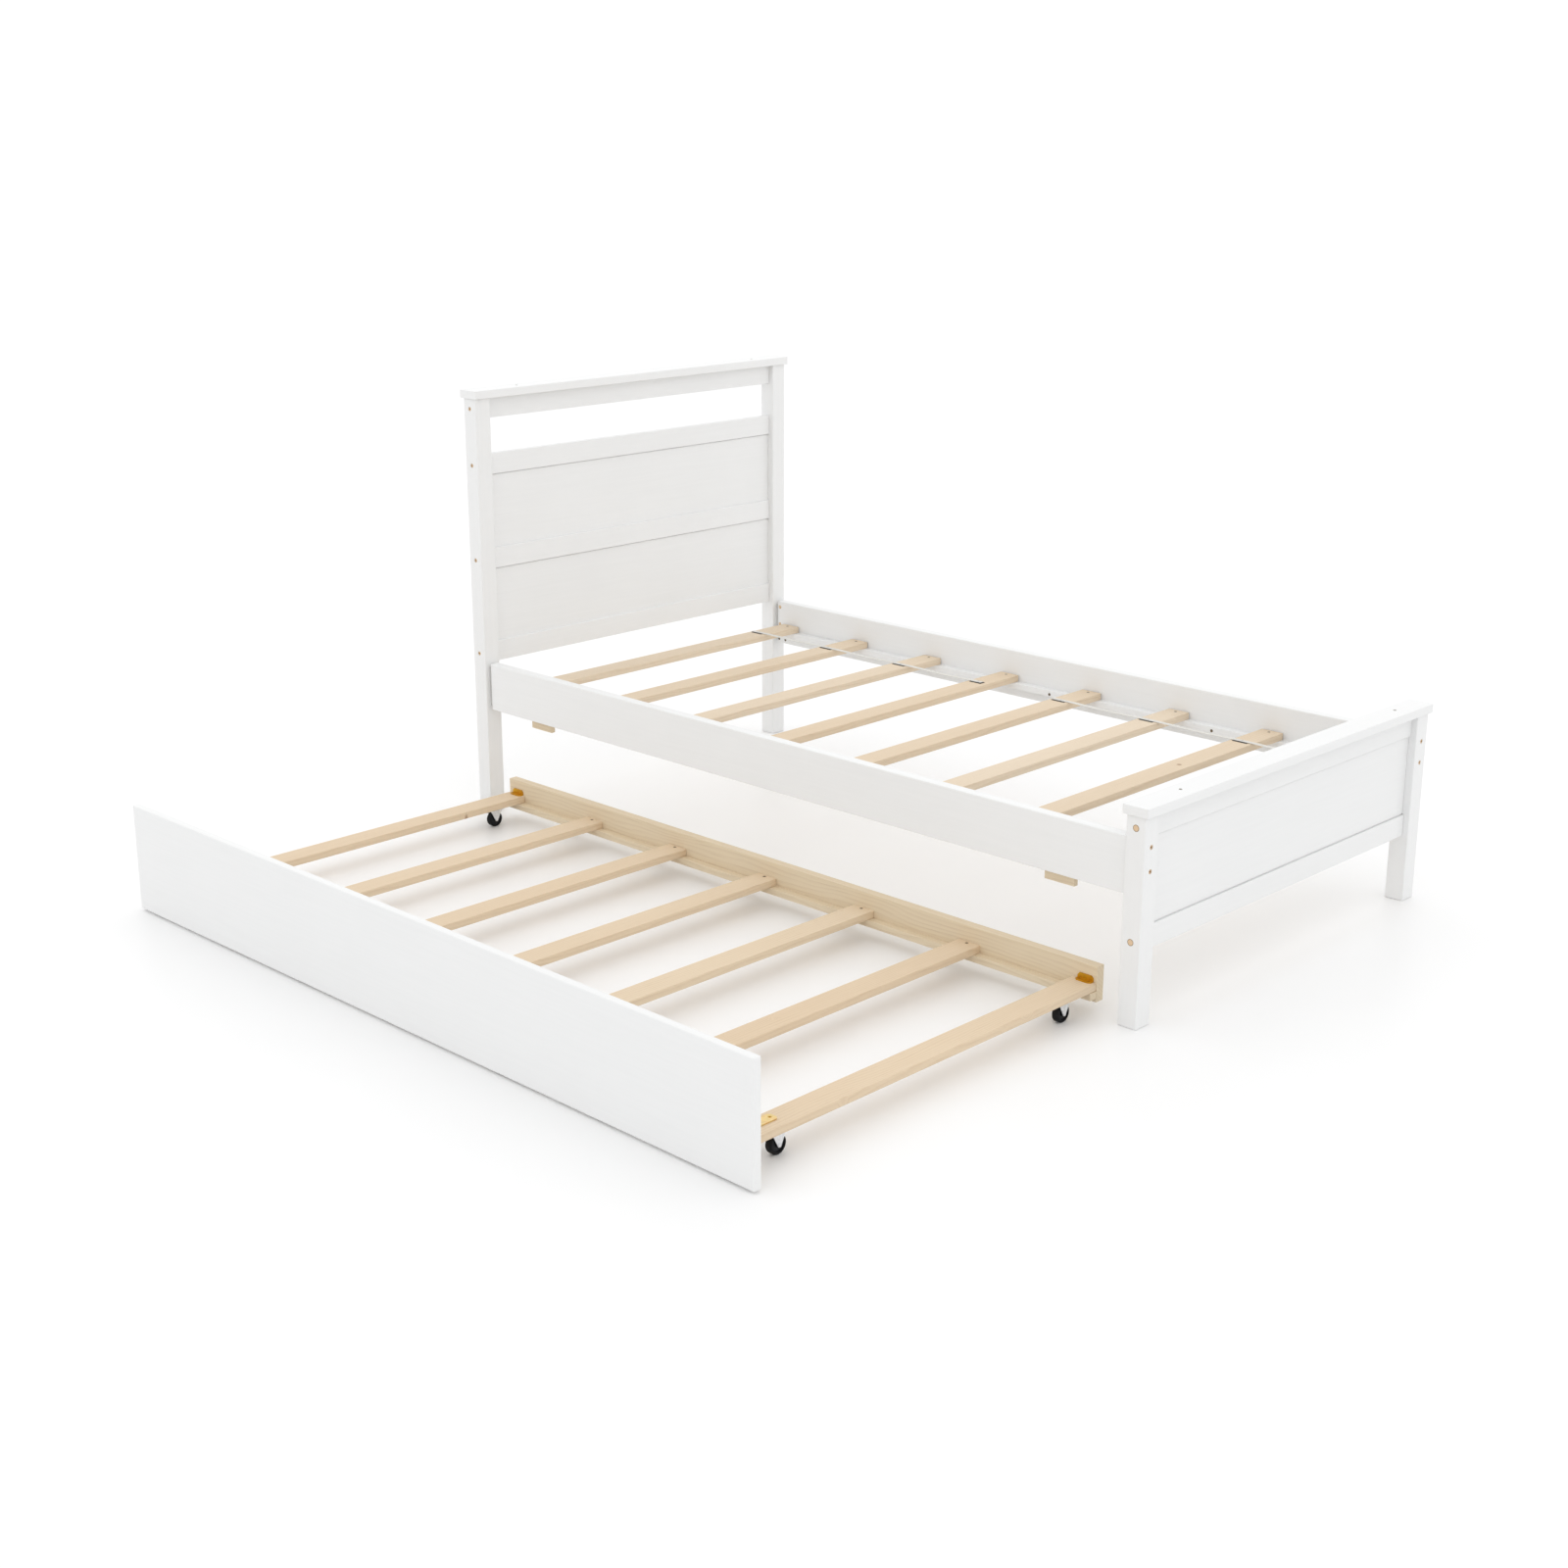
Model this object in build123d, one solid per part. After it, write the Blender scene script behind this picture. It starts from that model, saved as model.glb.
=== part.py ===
"""Twin trundle bed: a panelled bed frame with a slatted drawer on casters below it.

Millimetres. X runs from the headboard (left) to the footboard (right), Y from the
front (where the trundle comes out) to the back, Z up. The origin is on the floor at
the centre of the bed's outline with the trundle pulled out.
"""
from build123d import *
import os

# Overall sizes
LENGTH = 2032            # over the posts, headboard to footboard
WIDTH = 1066             # over the posts, front to back
POST = 45                # square posts
HEAD_POST_TOP = 1040
FOOT_POST_TOP = 433
POST_EASE = 2.5
CAP_THICK = 20
CAP_DEPTH = 60
CAP_OVERHANG = 5         # past the posts at the front and back
CAP_EASE = 1.5

# Rails and panels of the two ends
END_RAIL_THICK = 17
END_RAIL_SETBACK = 14    # from the posts' outer faces
HEAD_RAILS = {"top": (990, 1040), "upper": (852.5, 903.5), "middle": (619, 670), "bottom": (384, 435)}
FOOT_RAILS = {"top": (384, 433), "lower": (153, 202)}
RAIL_EASE = 1.2
PANEL_THICK = 8
GROOVE_DEPTH = 8
GROOVE_PLAY = 0.4        # groove width beyond the panel's thickness
PANEL_TONGUE = 7         # how far a panel reaches into its grooves
SHOULDER_DEPTH = 2       # step in a panel's faces, leaving a thinner tongue
SHOULDER_REVEAL = 2.4    # height of that step left open beside the rail

# Bed base
SIDE_RAIL_THICK = 25
SIDE_RAIL_SETBACK = 9    # behind the posts' front faces
SIDE_RAIL_Z = (268, 386)
HOOK_PLATE = 8           # steel plate between a side rail's end and the headboard post
HOOK_PLATE_WIDTH = 17
HOOK_PLATE_HEIGHT = 100
LEDGER_DEPTH = 20
LEDGER_Z = (293, 308.5)
LEDGER_END = 953         # from the bed's middle
BED_SLATS = 8
BED_SLAT_PITCH = 259.3
SLAT_WIDTH = 57
SLAT_THICK = 17
BED_SLAT_GAP = 2.5       # from a slat's end to the side rail
SLAT_EASE = 1.5
SLATS_PER_STRAP = 4
STRAP_WIDTH = 12
STRAP_THICK = 1
STRAP_INSET = 122.5      # from a slat's end to the strap's outer edge
STRAP_START = 4          # from its first slat's left edge
STRAP_LAST = 39          # how far a strap runs onto its last slat
PAD_START = 8            # from the slat's left edge
PAD_LENGTH = 38
PAD_THICK = 1
PAD_MARGIN = 5           # past the strap's inner edge and past its end
STOP_LENGTH = 74
STOP_THICK = 12
STOP_Z = (241.3, 293)
STOP_X = (-801, 793.5)   # the stop blocks' middles

# Trundle
TRUNDLE_OUT = 1010.5     # travel, from pushed in to pulled out
TRUNDLE_PANEL_LENGTH = 1930
TRUNDLE_PANEL_THICK = 18
TRUNDLE_PANEL_Z = (4.4, 244.7)
TRUNDLE_PANEL_EASE = 3
TRUNDLE_RAIL_LENGTH = 1820
TRUNDLE_RAIL_THICK = 22
TRUNDLE_RAIL_Z = (24, 99.4)
TRUNDLE_SLATS = 7
TRUNDLE_SLAT_PITCH = 293.2
TRUNDLE_SLAT_Z = 48      # underside
TRUNDLE_SLAT_LENGTH = 991
TRUNDLE_LEDGER_DEPTH = 20
TRUNDLE_LEDGER_THICK = 15.5
BRACKET_THICK = 2.5
FRONT_BRACKET_WIDTH = 25
FRONT_BRACKET_LENGTH = 120
FRONT_BRACKET_HEIGHT = 100
REAR_BRACKET_WIDTH = 38
REAR_BRACKET_LENGTH = 14
REAR_BRACKET_HEIGHT = 13
BRACKET_CORNER = 5       # cut off the free corners of each leg

# Casters
CASTER_SHIFT = 3.5       # the casters and rear brackets sit a little right of the slats' middles
CASTER_Y = (104, 900)    # swivel centres behind the trundle panel's back face
CASTER_TRAIL = 12
WHEEL_RADIUS = 19
WHEEL_WIDTH = 15.5
TREAD_EASE = 2.5
HUB_RADIUS = 6
RECESS_RADIUS = 14
RECESS_DEPTH = 3
AXLE_RADIUS = 2.5
AXLE_HEAD_RADIUS = 4
AXLE_HEAD_THICK = 1
AXLE_FIT = 0.02          # axle in the fork's eyes
RUNNING_CLEARANCE = 0.06
PLATE_X = 38
PLATE_Y = 58
PLATE_THICK = 2.5
PLATE_CORNER = 5
PLATE_HOLE_INSET = 6
RIVET_RADIUS = 3
RIVET_HEAD_RADIUS = 5
RIVET_HEAD_THICK = 1.5
RACE_RADIUS = 9          # the raised ring the fork turns against
SWIVEL_GAP = 0.3
FORK_THICK = 1.6
FORK_TOP_Z = 44
FORK_DISC_RADIUS = 15
FORK_SIDE_GAP = 0.6      # between the wheel and each leg
LEG_TOP_WIDTH = 34
LEG_EYE_RADIUS = 4.5

# Fasteners
BOLT_RADIUS = 3
BOLT_HEAD_RADIUS = 5
BOLT_HEAD_THICK = 3
SOCKET_RADIUS = 2.2
SCREW_RADIUS = 1.8
SCREW_HEAD_RADIUS = 3.6
SCREW_HEAD_THICK = 2
HOLE_PLAY = 0.1
END_BOLT_LENGTH = 85
PLUG_RADIUS = 7
PLUG_DEPTH = 6
BARREL_RADIUS = 5
BARREL_LENGTH = 20
BARREL_SLOT = (1.2, 1.5)  # width and depth of its screwdriver slot
BARREL_INSET = 9         # from the side rail's end
SIDE_BOLT_Z = (370.5, 321.5)
SLAT_SCREW_INSET = 15.5  # from a bed slat's end
CAP_SCREW_Y = (146.5, 961)  # behind the posts' front faces
CAP_SCREW_INSET = {-1: 22.5, 1: 25.6}  # from the posts' outer faces, at the headboard and the footboard

# Places worked out from the sizes above
LEFT = -LENGTH / 2
RIGHT = LENGTH / 2
FRONT = -38.0            # front face of the front posts
BACK = FRONT + WIDTH
RAIL_MID = END_RAIL_SETBACK + END_RAIL_THICK / 2
SIDE_RAIL_X = {-1: LEFT + POST + HOOK_PLATE, 1: RIGHT - POST}  # the rails' two ends
SIDE_RAIL_IN = SIDE_RAIL_SETBACK + SIDE_RAIL_THICK
SIDE_RAIL_MID = SIDE_RAIL_SETBACK + SIDE_RAIL_THICK / 2
BED_SLAT_X = [(k - (BED_SLATS - 1) / 2) * BED_SLAT_PITCH for k in range(BED_SLATS)]
BED_SLAT_TOP = LEDGER_Z[1] + SLAT_THICK
BED_SLAT_FRONT = FRONT + SIDE_RAIL_IN + BED_SLAT_GAP
BED_SLAT_BACK = BACK - SIDE_RAIL_IN - BED_SLAT_GAP
PANEL_BACK = FRONT + SIDE_RAIL_IN - 0.5 - TRUNDLE_OUT
PANEL_FRONT = PANEL_BACK - TRUNDLE_PANEL_THICK
TRUNDLE_RAIL_FRONT = PANEL_BACK + TRUNDLE_SLAT_LENGTH
TRUNDLE_RAIL_BACK = TRUNDLE_RAIL_FRONT + TRUNDLE_RAIL_THICK
TRUNDLE_SLAT_X = [(k - (TRUNDLE_SLATS - 1) / 2) * TRUNDLE_SLAT_PITCH for k in range(TRUNDLE_SLATS)]
TRUNDLE_SLAT_TOP = TRUNDLE_SLAT_Z + SLAT_THICK
FRONT_BRACKET_X = (TRUNDLE_SLAT_X[0] + 5, TRUNDLE_SLAT_X[-1] - 5)
CASTER_X = (TRUNDLE_SLAT_X[0] + CASTER_SHIFT, TRUNDLE_SLAT_X[-1] + CASTER_SHIFT)
LEG_GAP = WHEEL_WIDTH / 2 + FORK_SIDE_GAP  # from a wheel's middle to each leg
UP = (0, 0, 1)
DOWN = (0, 0, -1)


def block(x, y, z, ease=0):
    """A bar filling the given (low, high) spans, with its edges eased."""
    size = [high - low for low, high in (x, y, z)]
    middle = [(high + low) / 2 for low, high in (x, y, z)]
    bar = Pos(*middle) * Box(*size)
    return fillet(bar.edges(), ease) if ease else bar


def rod(start, direction, radius, length):
    """A round bar from a point, along a direction."""
    return extrude(Plane(origin=start, z_dir=direction) * Circle(radius), length)


def along(start, direction, distance):
    """The point a distance from start along a direction."""
    return tuple(s + d * distance for s, d in zip(start, direction))


def fastener(start, direction, head, shank, length, socket=0):
    """A head whose top is at start, then a shank; head is (radius, thickness)."""
    body = rod(start, direction, *head)
    body += rod(along(start, direction, head[1]), direction, shank, length - head[1])
    if socket:
        key = Plane(origin=start, z_dir=direction) * RegularPolygon(socket, 6)
        body -= extrude(key, head[1] * 0.7)
    return body


def cross_slot_screw(start, direction, length):
    """A wood screw with a flat cross-slotted head, its top at start."""
    body = fastener(start, direction, (SCREW_HEAD_RADIUS, SCREW_HEAD_THICK), SCREW_RADIUS, length)
    face = Plane(origin=start, z_dir=direction)
    arm = 2 * SCREW_HEAD_RADIUS * 0.6
    for slot in (Rectangle(arm, 0.9), Rectangle(0.9, arm)):
        body -= extrude(face * slot, SCREW_HEAD_THICK * 0.6)
    return body


def screws(groups):
    """One screw at every place; groups pairs a list of places with a length."""
    return [cross_slot_screw(start, way, length) for places, length in groups for start, way in places]


def screw_hole(start, direction, length):
    """The hole a wood screw sits in, head flush with the surface."""
    hole = rod(start, direction, SCREW_HEAD_RADIUS + HOLE_PLAY, SCREW_HEAD_THICK + HOLE_PLAY)
    return hole + rod(start, direction, SCREW_RADIUS + HOLE_PLAY, length + 1)


def bolt_hole(start, direction, head_depth, length):
    """A clearance hole with a counterbore for the head."""
    hole = rod(start, direction, BOLT_HEAD_RADIUS + HOLE_PLAY, head_depth)
    return hole + rod(start, direction, BOLT_RADIUS + HOLE_PLAY, length)


def cut(body, holes):
    """Body less every hole."""
    for hole in holes:
        body -= hole
    return body


def save(name, shape):
    """Write a sub-part, or a group of separate like solids, as one STEP file."""
    if isinstance(shape, list):
        shape = Compound(children=[Part(piece.wrapped) for item in shape for piece in item.solids()])
    export_step(shape, f"parts/{name}.step")


# ---- Bolts and screws of the bed: start point and direction of each ----

def end_bolts(side, rails, sink):
    """Bolts through the posts into the rails' ends, heads a little below the surface."""
    x = side * (LENGTH / 2 - RAIL_MID)
    found = []
    for low, high in rails.values():
        middle = (low + high) / 2
        found.append(((x, FRONT + sink, middle), (0, 1, 0)))
        found.append(((x, BACK - sink, middle), (0, -1, 0)))
    return found


def side_bolts(side):
    """Two bolts through each post of one end into the side rails' barrel nuts."""
    x = side * (LENGTH / 2 - 1)
    rails = (FRONT + SIDE_RAIL_MID, BACK - SIDE_RAIL_MID)
    return [((x, y, z), (-side, 0, 0)) for y in rails for z in SIDE_BOLT_Z]


def side_bolt_length(way):
    """From just inside a post's outer face to the far side of the barrel nut."""
    side = -way[0]
    return LENGTH / 2 - side * SIDE_RAIL_X[side] + BARREL_INSET + BARREL_RADIUS


def cap_screws(side, top):
    """Screws down through a cap into the top rail."""
    x = side * (LENGTH / 2 - CAP_SCREW_INSET[side])
    return [((x, FRONT + y, top), DOWN) for y in CAP_SCREW_Y]


HEAD_BOLTS = end_bolts(-1, HEAD_RAILS, 1)
FOOT_BOLTS = end_bolts(1, FOOT_RAILS, PLUG_DEPTH)
SIDE_BOLTS = side_bolts(-1) + side_bolts(1)
CAP_SCREWS = cap_screws(-1, HEAD_POST_TOP + CAP_THICK) + cap_screws(1, FOOT_POST_TOP + CAP_THICK)
CAP_SCREW_LENGTH = 45
SLAT_SCREWS = [((x, y, BED_SLAT_TOP), DOWN) for x in BED_SLAT_X
               for y in (BED_SLAT_FRONT + SLAT_SCREW_INSET, BED_SLAT_BACK - SLAT_SCREW_INSET)]
SLAT_SCREW_LENGTH = 28
RAIL_SCREWS = [((x, BACK - SIDE_RAIL_IN, 279), (0, 1, 0)) for x in (-957, -933)]
RAIL_SCREW_LENGTH = 20
LEDGER_SCREWS = [((x, BACK - SIDE_RAIL_IN - LEDGER_DEPTH, 298.5), (0, 1, 0)) for x in (12, 494)]
LEDGER_SCREW_LENGTH = 38
STOP_SCREWS = [((x, FRONT + SIDE_RAIL_IN + STOP_THICK, sum(STOP_Z) / 2 + 15), (0, -1, 0))
               for middle in STOP_X for x in (middle - STOP_LENGTH / 4, middle + STOP_LENGTH / 4)]
STOP_SCREW_LENGTH = 30


def end_holes():
    """Every bolt hole in the posts and in the rails' ends."""
    holes = [bolt_hole(along(start, way, -1), way, 1 + BOLT_HEAD_THICK + HOLE_PLAY, END_BOLT_LENGTH + 2)
             for start, way in HEAD_BOLTS]
    for start, way in FOOT_BOLTS:
        plug = rod(along(start, way, -PLUG_DEPTH), way, PLUG_RADIUS + HOLE_PLAY, PLUG_DEPTH)
        holes.append(plug + bolt_hole(start, way, BOLT_HEAD_THICK + HOLE_PLAY, END_BOLT_LENGTH + 1))
    for start, way in SIDE_BOLTS:
        reach = side_bolt_length(way) + 3
        holes.append(bolt_hole(along(start, way, -1), way, 1 + BOLT_HEAD_THICK + HOLE_PLAY, reach))
    return holes


END_HOLES = end_holes()


def near(holes, body):
    """The holes whose boxes touch the body's box."""
    outer = body.bounding_box()
    found = []
    for hole in holes:
        box = hole.bounding_box()
        apart = (box.min.X > outer.max.X or box.max.X < outer.min.X
                 or box.min.Y > outer.max.Y or box.max.Y < outer.min.Y
                 or box.min.Z > outer.max.Z or box.max.Z < outer.min.Z)
        if not apart:
            found.append(hole)
    return found


# ---- Headboard and footboard ----

def groove(side, gap, thick):
    """The slots around one panel's opening, for a panel edge of the given thickness."""
    middle = side * (LENGTH / 2 - RAIL_MID)
    half = (thick + GROOVE_PLAY) / 2
    span = (FRONT + POST - GROOVE_DEPTH, BACK - POST + GROOVE_DEPTH)
    return block((middle - half, middle + half), span, (gap[0] - GROOVE_DEPTH, gap[1] + GROOVE_DEPTH))


def end_panel(side, gap, stepped):
    """A panel filling a (low, high) gap; stepped lists the edges with a shoulder."""
    middle = side * (LENGTH / 2 - RAIL_MID)
    x = (middle - PANEL_THICK / 2, middle + PANEL_THICK / 2)
    y = (FRONT + POST - PANEL_TONGUE, BACK - POST + PANEL_TONGUE)
    z = (gap[0] - PANEL_TONGUE, gap[1] + PANEL_TONGUE)
    panel = block(x, y, z)
    steps = {"bottom": (z[0], gap[0] + SHOULDER_REVEAL), "top": (gap[1] - SHOULDER_REVEAL, z[1])}
    for edge in stepped:
        for face in ((x[0], x[0] + SHOULDER_DEPTH), (x[1] - SHOULDER_DEPTH, x[1])):
            panel -= block(face, y, steps[edge])
    return panel


def panel_gaps(rails, pairs):
    """The open height between each pair of rails that holds a panel."""
    return [(rails[lower][1], rails[upper][0]) for lower, upper in pairs]


def board_end(name, side, rails, pairs, post_top, stepped):
    """One end of the bed: two posts, a cap, its rails and the panels between them."""
    outer = side * LENGTH / 2
    inner = side * (LENGTH / 2 - POST)
    post_x = (min(outer, inner), max(outer, inner))
    gaps = panel_gaps(rails, pairs)
    post_grooves = [groove(side, gap, PANEL_THICK) for gap in gaps]
    tongue = PANEL_THICK - 2 * SHOULDER_DEPTH
    rail_grooves = []
    for low, high in gaps:
        middle = (low + high) / 2
        rail_grooves.append(groove(side, (low, middle), tongue if "bottom" in stepped else PANEL_THICK))
        rail_grooves.append(groove(side, (middle, high), tongue if "top" in stepped else PANEL_THICK))

    for label, y_low in (("front", FRONT), ("back", BACK - POST)):
        post = block(post_x, (y_low, y_low + POST), (0, post_top), POST_EASE)
        save(f"{name}_post_{label}", cut(post, near(END_HOLES, post) + near(post_grooves, post)))

    middle = side * (LENGTH / 2 - RAIL_MID)
    rail_x = (middle - END_RAIL_THICK / 2, middle + END_RAIL_THICK / 2)
    screws = [screw_hole(start, way, CAP_SCREW_LENGTH) for start, way in CAP_SCREWS]
    for label, height in rails.items():
        rail = block(rail_x, (FRONT + POST, BACK - POST), height, RAIL_EASE)
        rail = cut(rail, near(END_HOLES, rail) + near(rail_grooves, rail) + near(screws, rail))
        save(f"{name}_rail_{label}", rail)

    for gap, (_, upper) in zip(gaps, pairs):
        label = "" if len(pairs) == 1 else f"_{upper}"
        save(f"{name}_panel{label}", end_panel(side, gap, stepped))

    lip = (CAP_DEPTH - POST) / 2
    cap_x = (post_x[0] - lip, post_x[1] + lip)
    cap = block(cap_x, (FRONT - CAP_OVERHANG, BACK + CAP_OVERHANG), (post_top, post_top + CAP_THICK), CAP_EASE)
    save(f"{name}_cap", cut(cap, near(screws, cap)))


# ---- Bed base ----

def side_rails():
    """The two long rails, drilled for their bolts, barrel nuts and screws."""
    holes = [screw_hole(start, way, RAIL_SCREW_LENGTH) for start, way in RAIL_SCREWS]
    through = ((STOP_SCREWS, STOP_SCREW_LENGTH), (LEDGER_SCREWS, LEDGER_SCREW_LENGTH))
    for places, length in through:
        holes += [rod(start, way, SCREW_RADIUS + HOLE_PLAY, length + 1) for start, way in places]
    for start, way in barrel_places():
        holes.append(rod(start, way, BARREL_RADIUS + HOLE_PLAY, BARREL_LENGTH + HOLE_PLAY))
    holes += END_HOLES
    for label, y_low in (("front", FRONT + SIDE_RAIL_SETBACK), ("back", BACK - SIDE_RAIL_IN)):
        ends = (SIDE_RAIL_X[-1], SIDE_RAIL_X[1])
        rail = block(ends, (y_low, y_low + SIDE_RAIL_THICK), SIDE_RAIL_Z, POST_EASE)
        save(f"side_rail_{label}", cut(rail, near(holes, rail)))


def barrel_places():
    """Where each barrel nut enters a side rail's inner face, and which way it goes in."""
    found = []
    for side, end in SIDE_RAIL_X.items():
        x = end - side * BARREL_INSET
        for z in SIDE_BOLT_Z:
            found.append(((x, FRONT + SIDE_RAIL_IN, z), (0, -1, 0)))
            found.append(((x, BACK - SIDE_RAIL_IN, z), (0, 1, 0)))
    return found


def barrel_nuts():
    """Cross dowels, each with a screwdriver slot and a threaded hole for its bolt."""
    nuts = []
    for start, way in barrel_places():
        nut = rod(start, way, BARREL_RADIUS, BARREL_LENGTH)
        slot = Plane(origin=start, z_dir=way) * Rectangle(2 * BARREL_RADIUS, BARREL_SLOT[0])
        nut -= extrude(slot, BARREL_SLOT[1])
        middle = (start[0] - 2 * BARREL_RADIUS, start[1] + way[1] * (SIDE_RAIL_THICK / 2), start[2])
        nuts.append(nut - rod(middle, (1, 0, 0), BOLT_RADIUS + HOLE_PLAY, 4 * BARREL_RADIUS))
    save("barrel_nuts", nuts)


def hook_plates():
    """The steel plate between each side rail's end and its headboard post."""
    plates = []
    middle_z = sum(SIDE_RAIL_Z) / 2
    for y in (FRONT + SIDE_RAIL_MID, BACK - SIDE_RAIL_MID):
        plate = block((LEFT + POST, SIDE_RAIL_X[-1]), (y - HOOK_PLATE_WIDTH / 2, y + HOOK_PLATE_WIDTH / 2),
                      (middle_z - HOOK_PLATE_HEIGHT / 2, middle_z + HOOK_PLATE_HEIGHT / 2))
        plates.append(cut(plate, near(END_HOLES, plate)))
    save("rail_bracket_plates", plates)


def ledgers():
    """The strips under the slats' ends, glued and screwed to the side rails."""
    holes = [screw_hole(start, way, SLAT_SCREW_LENGTH) for start, way in SLAT_SCREWS]
    holes += [screw_hole(start, way, LEDGER_SCREW_LENGTH) for start, way in LEDGER_SCREWS]
    spans = (("front", FRONT + SIDE_RAIL_IN, FRONT + SIDE_RAIL_IN + LEDGER_DEPTH),
             ("back", BACK - SIDE_RAIL_IN - LEDGER_DEPTH, BACK - SIDE_RAIL_IN))
    for label, low, high in spans:
        strip = block((-LEDGER_END, LEDGER_END), (low, high), LEDGER_Z, RAIL_EASE)
        save(f"bed_ledger_{label}", cut(strip, near(holes, strip)))


def bed_slats():
    """Eight loose-looking pine slats, one screw at each end."""
    holes = [screw_hole(start, way, SLAT_SCREW_LENGTH) for start, way in SLAT_SCREWS]
    for number, x in enumerate(BED_SLAT_X, 1):
        slat = block((x - SLAT_WIDTH / 2, x + SLAT_WIDTH / 2), (BED_SLAT_FRONT, BED_SLAT_BACK),
                     (LEDGER_Z[1], BED_SLAT_TOP), SLAT_EASE)
        save(f"bed_slat_{number}", cut(slat, near(holes, slat)))


def slat_straps():
    """Straps that space the slats, two along each side, and the pads under them."""
    z = BED_SLAT_TOP + PAD_THICK
    front = BED_SLAT_FRONT + STRAP_INSET
    back = BED_SLAT_BACK - STRAP_INSET
    sides = (((front, front + STRAP_WIDTH), (front, front + STRAP_WIDTH + PAD_MARGIN)),
             ((back - STRAP_WIDTH, back), (back - STRAP_WIDTH - PAD_MARGIN, back)))
    pieces = []
    for strap_y, pad_y in sides:
        for first in range(0, BED_SLATS, SLATS_PER_STRAP):
            lefts = [x - SLAT_WIDTH / 2 for x in BED_SLAT_X[first:first + SLATS_PER_STRAP]]
            ends = (lefts[0] + STRAP_START, lefts[-1] + STRAP_LAST)
            pieces.append(block(ends, strap_y, (z, z + STRAP_THICK)))
            for left in lefts:
                end = STRAP_LAST + PAD_MARGIN if left == lefts[-1] else PAD_START + PAD_LENGTH
                pieces.append(block((left + PAD_START, left + end), pad_y, (BED_SLAT_TOP, z)))
    save("slat_straps", pieces)


def stop_blocks():
    """Wooden blocks inside the front rail that stop the trundle panel."""
    blocks = []
    holes = [screw_hole(start, way, STOP_SCREW_LENGTH) for start, way in STOP_SCREWS]
    low = FRONT + SIDE_RAIL_IN
    for x in STOP_X:
        stop = block((x - STOP_LENGTH / 2, x + STOP_LENGTH / 2), (low, low + STOP_THICK), STOP_Z, RAIL_EASE)
        blocks.append(cut(stop, near(holes, stop)))
    save("stop_blocks", blocks)


def bed_fasteners():
    """Bolts, plugs and screws of the bed, each kind a group."""
    head = (BOLT_HEAD_RADIUS, BOLT_HEAD_THICK)
    bolts = [fastener(start, way, head, BOLT_RADIUS, END_BOLT_LENGTH, SOCKET_RADIUS)
             for start, way in HEAD_BOLTS + FOOT_BOLTS]
    bolts += [fastener(start, way, head, BOLT_RADIUS, side_bolt_length(way), SOCKET_RADIUS)
              for start, way in SIDE_BOLTS]
    save("frame_bolts", bolts)
    plugs = [rod(along(start, way, -PLUG_DEPTH), way, PLUG_RADIUS, PLUG_DEPTH) for start, way in FOOT_BOLTS]
    save("wood_plugs", plugs)
    lengths = ((SLAT_SCREWS, SLAT_SCREW_LENGTH), (CAP_SCREWS, CAP_SCREW_LENGTH),
               (RAIL_SCREWS, RAIL_SCREW_LENGTH), (LEDGER_SCREWS, LEDGER_SCREW_LENGTH),
               (STOP_SCREWS, STOP_SCREW_LENGTH))
    save("bed_screws", screws(lengths))


# ---- Trundle ----

FRONT_SCREWS = [((x, PANEL_BACK + y, TRUNDLE_SLAT_TOP + BRACKET_THICK), DOWN)
                for x in FRONT_BRACKET_X for y in (FRONT_BRACKET_LENGTH * 0.92, FRONT_BRACKET_LENGTH * 0.4)]
UPRIGHT_SCREW_Z = [TRUNDLE_SLAT_TOP + FRONT_BRACKET_HEIGHT * part for part in (0.35, 0.85)]
FRONT_UPRIGHT_SCREWS = [((x, PANEL_BACK + BRACKET_THICK, z), (0, -1, 0))
                        for x in FRONT_BRACKET_X for z in UPRIGHT_SCREW_Z]
REAR_SCREWS = [((middle + x, TRUNDLE_RAIL_FRONT - 7.5, TRUNDLE_SLAT_TOP + BRACKET_THICK), DOWN)
               for middle in CASTER_X for x in (-11, 11)]
PLATE_SCREWS = [((x + dx, PANEL_BACK + y + dy, TRUNDLE_SLAT_Z - PLATE_THICK), UP)
                for x in CASTER_X for y in CASTER_Y
                for dx in (PLATE_HOLE_INSET - PLATE_X / 2, PLATE_X / 2 - PLATE_HOLE_INSET)
                for dy in (PLATE_HOLE_INSET - PLATE_Y / 2, PLATE_Y / 2 - PLATE_HOLE_INSET)]
TRUNDLE_SLAT_SCREWS = [((x, y, TRUNDLE_SLAT_TOP), DOWN) for x in TRUNDLE_SLAT_X[1:-1]
                       for y in (TRUNDLE_RAIL_FRONT - 9.5, PANEL_BACK + 9.5)]
TRUNDLE_SCREW_LENGTH = 14
UPRIGHT_SCREW_LENGTH = 14
PLATE_SCREW_LENGTH = 14
TRUNDLE_SLAT_SCREW_LENGTH = 26


def trundle_holes():
    """Every screw hole in the trundle's wood and brackets."""
    holes = [screw_hole(start, way, TRUNDLE_SCREW_LENGTH) for start, way in FRONT_SCREWS + REAR_SCREWS]
    holes += [screw_hole(start, way, UPRIGHT_SCREW_LENGTH) for start, way in FRONT_UPRIGHT_SCREWS]
    holes += [screw_hole(start, way, TRUNDLE_SLAT_SCREW_LENGTH) for start, way in TRUNDLE_SLAT_SCREWS]
    holes += [screw_hole(start, way, PLATE_SCREW_LENGTH) for start, way in PLATE_SCREWS]
    return holes


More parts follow.
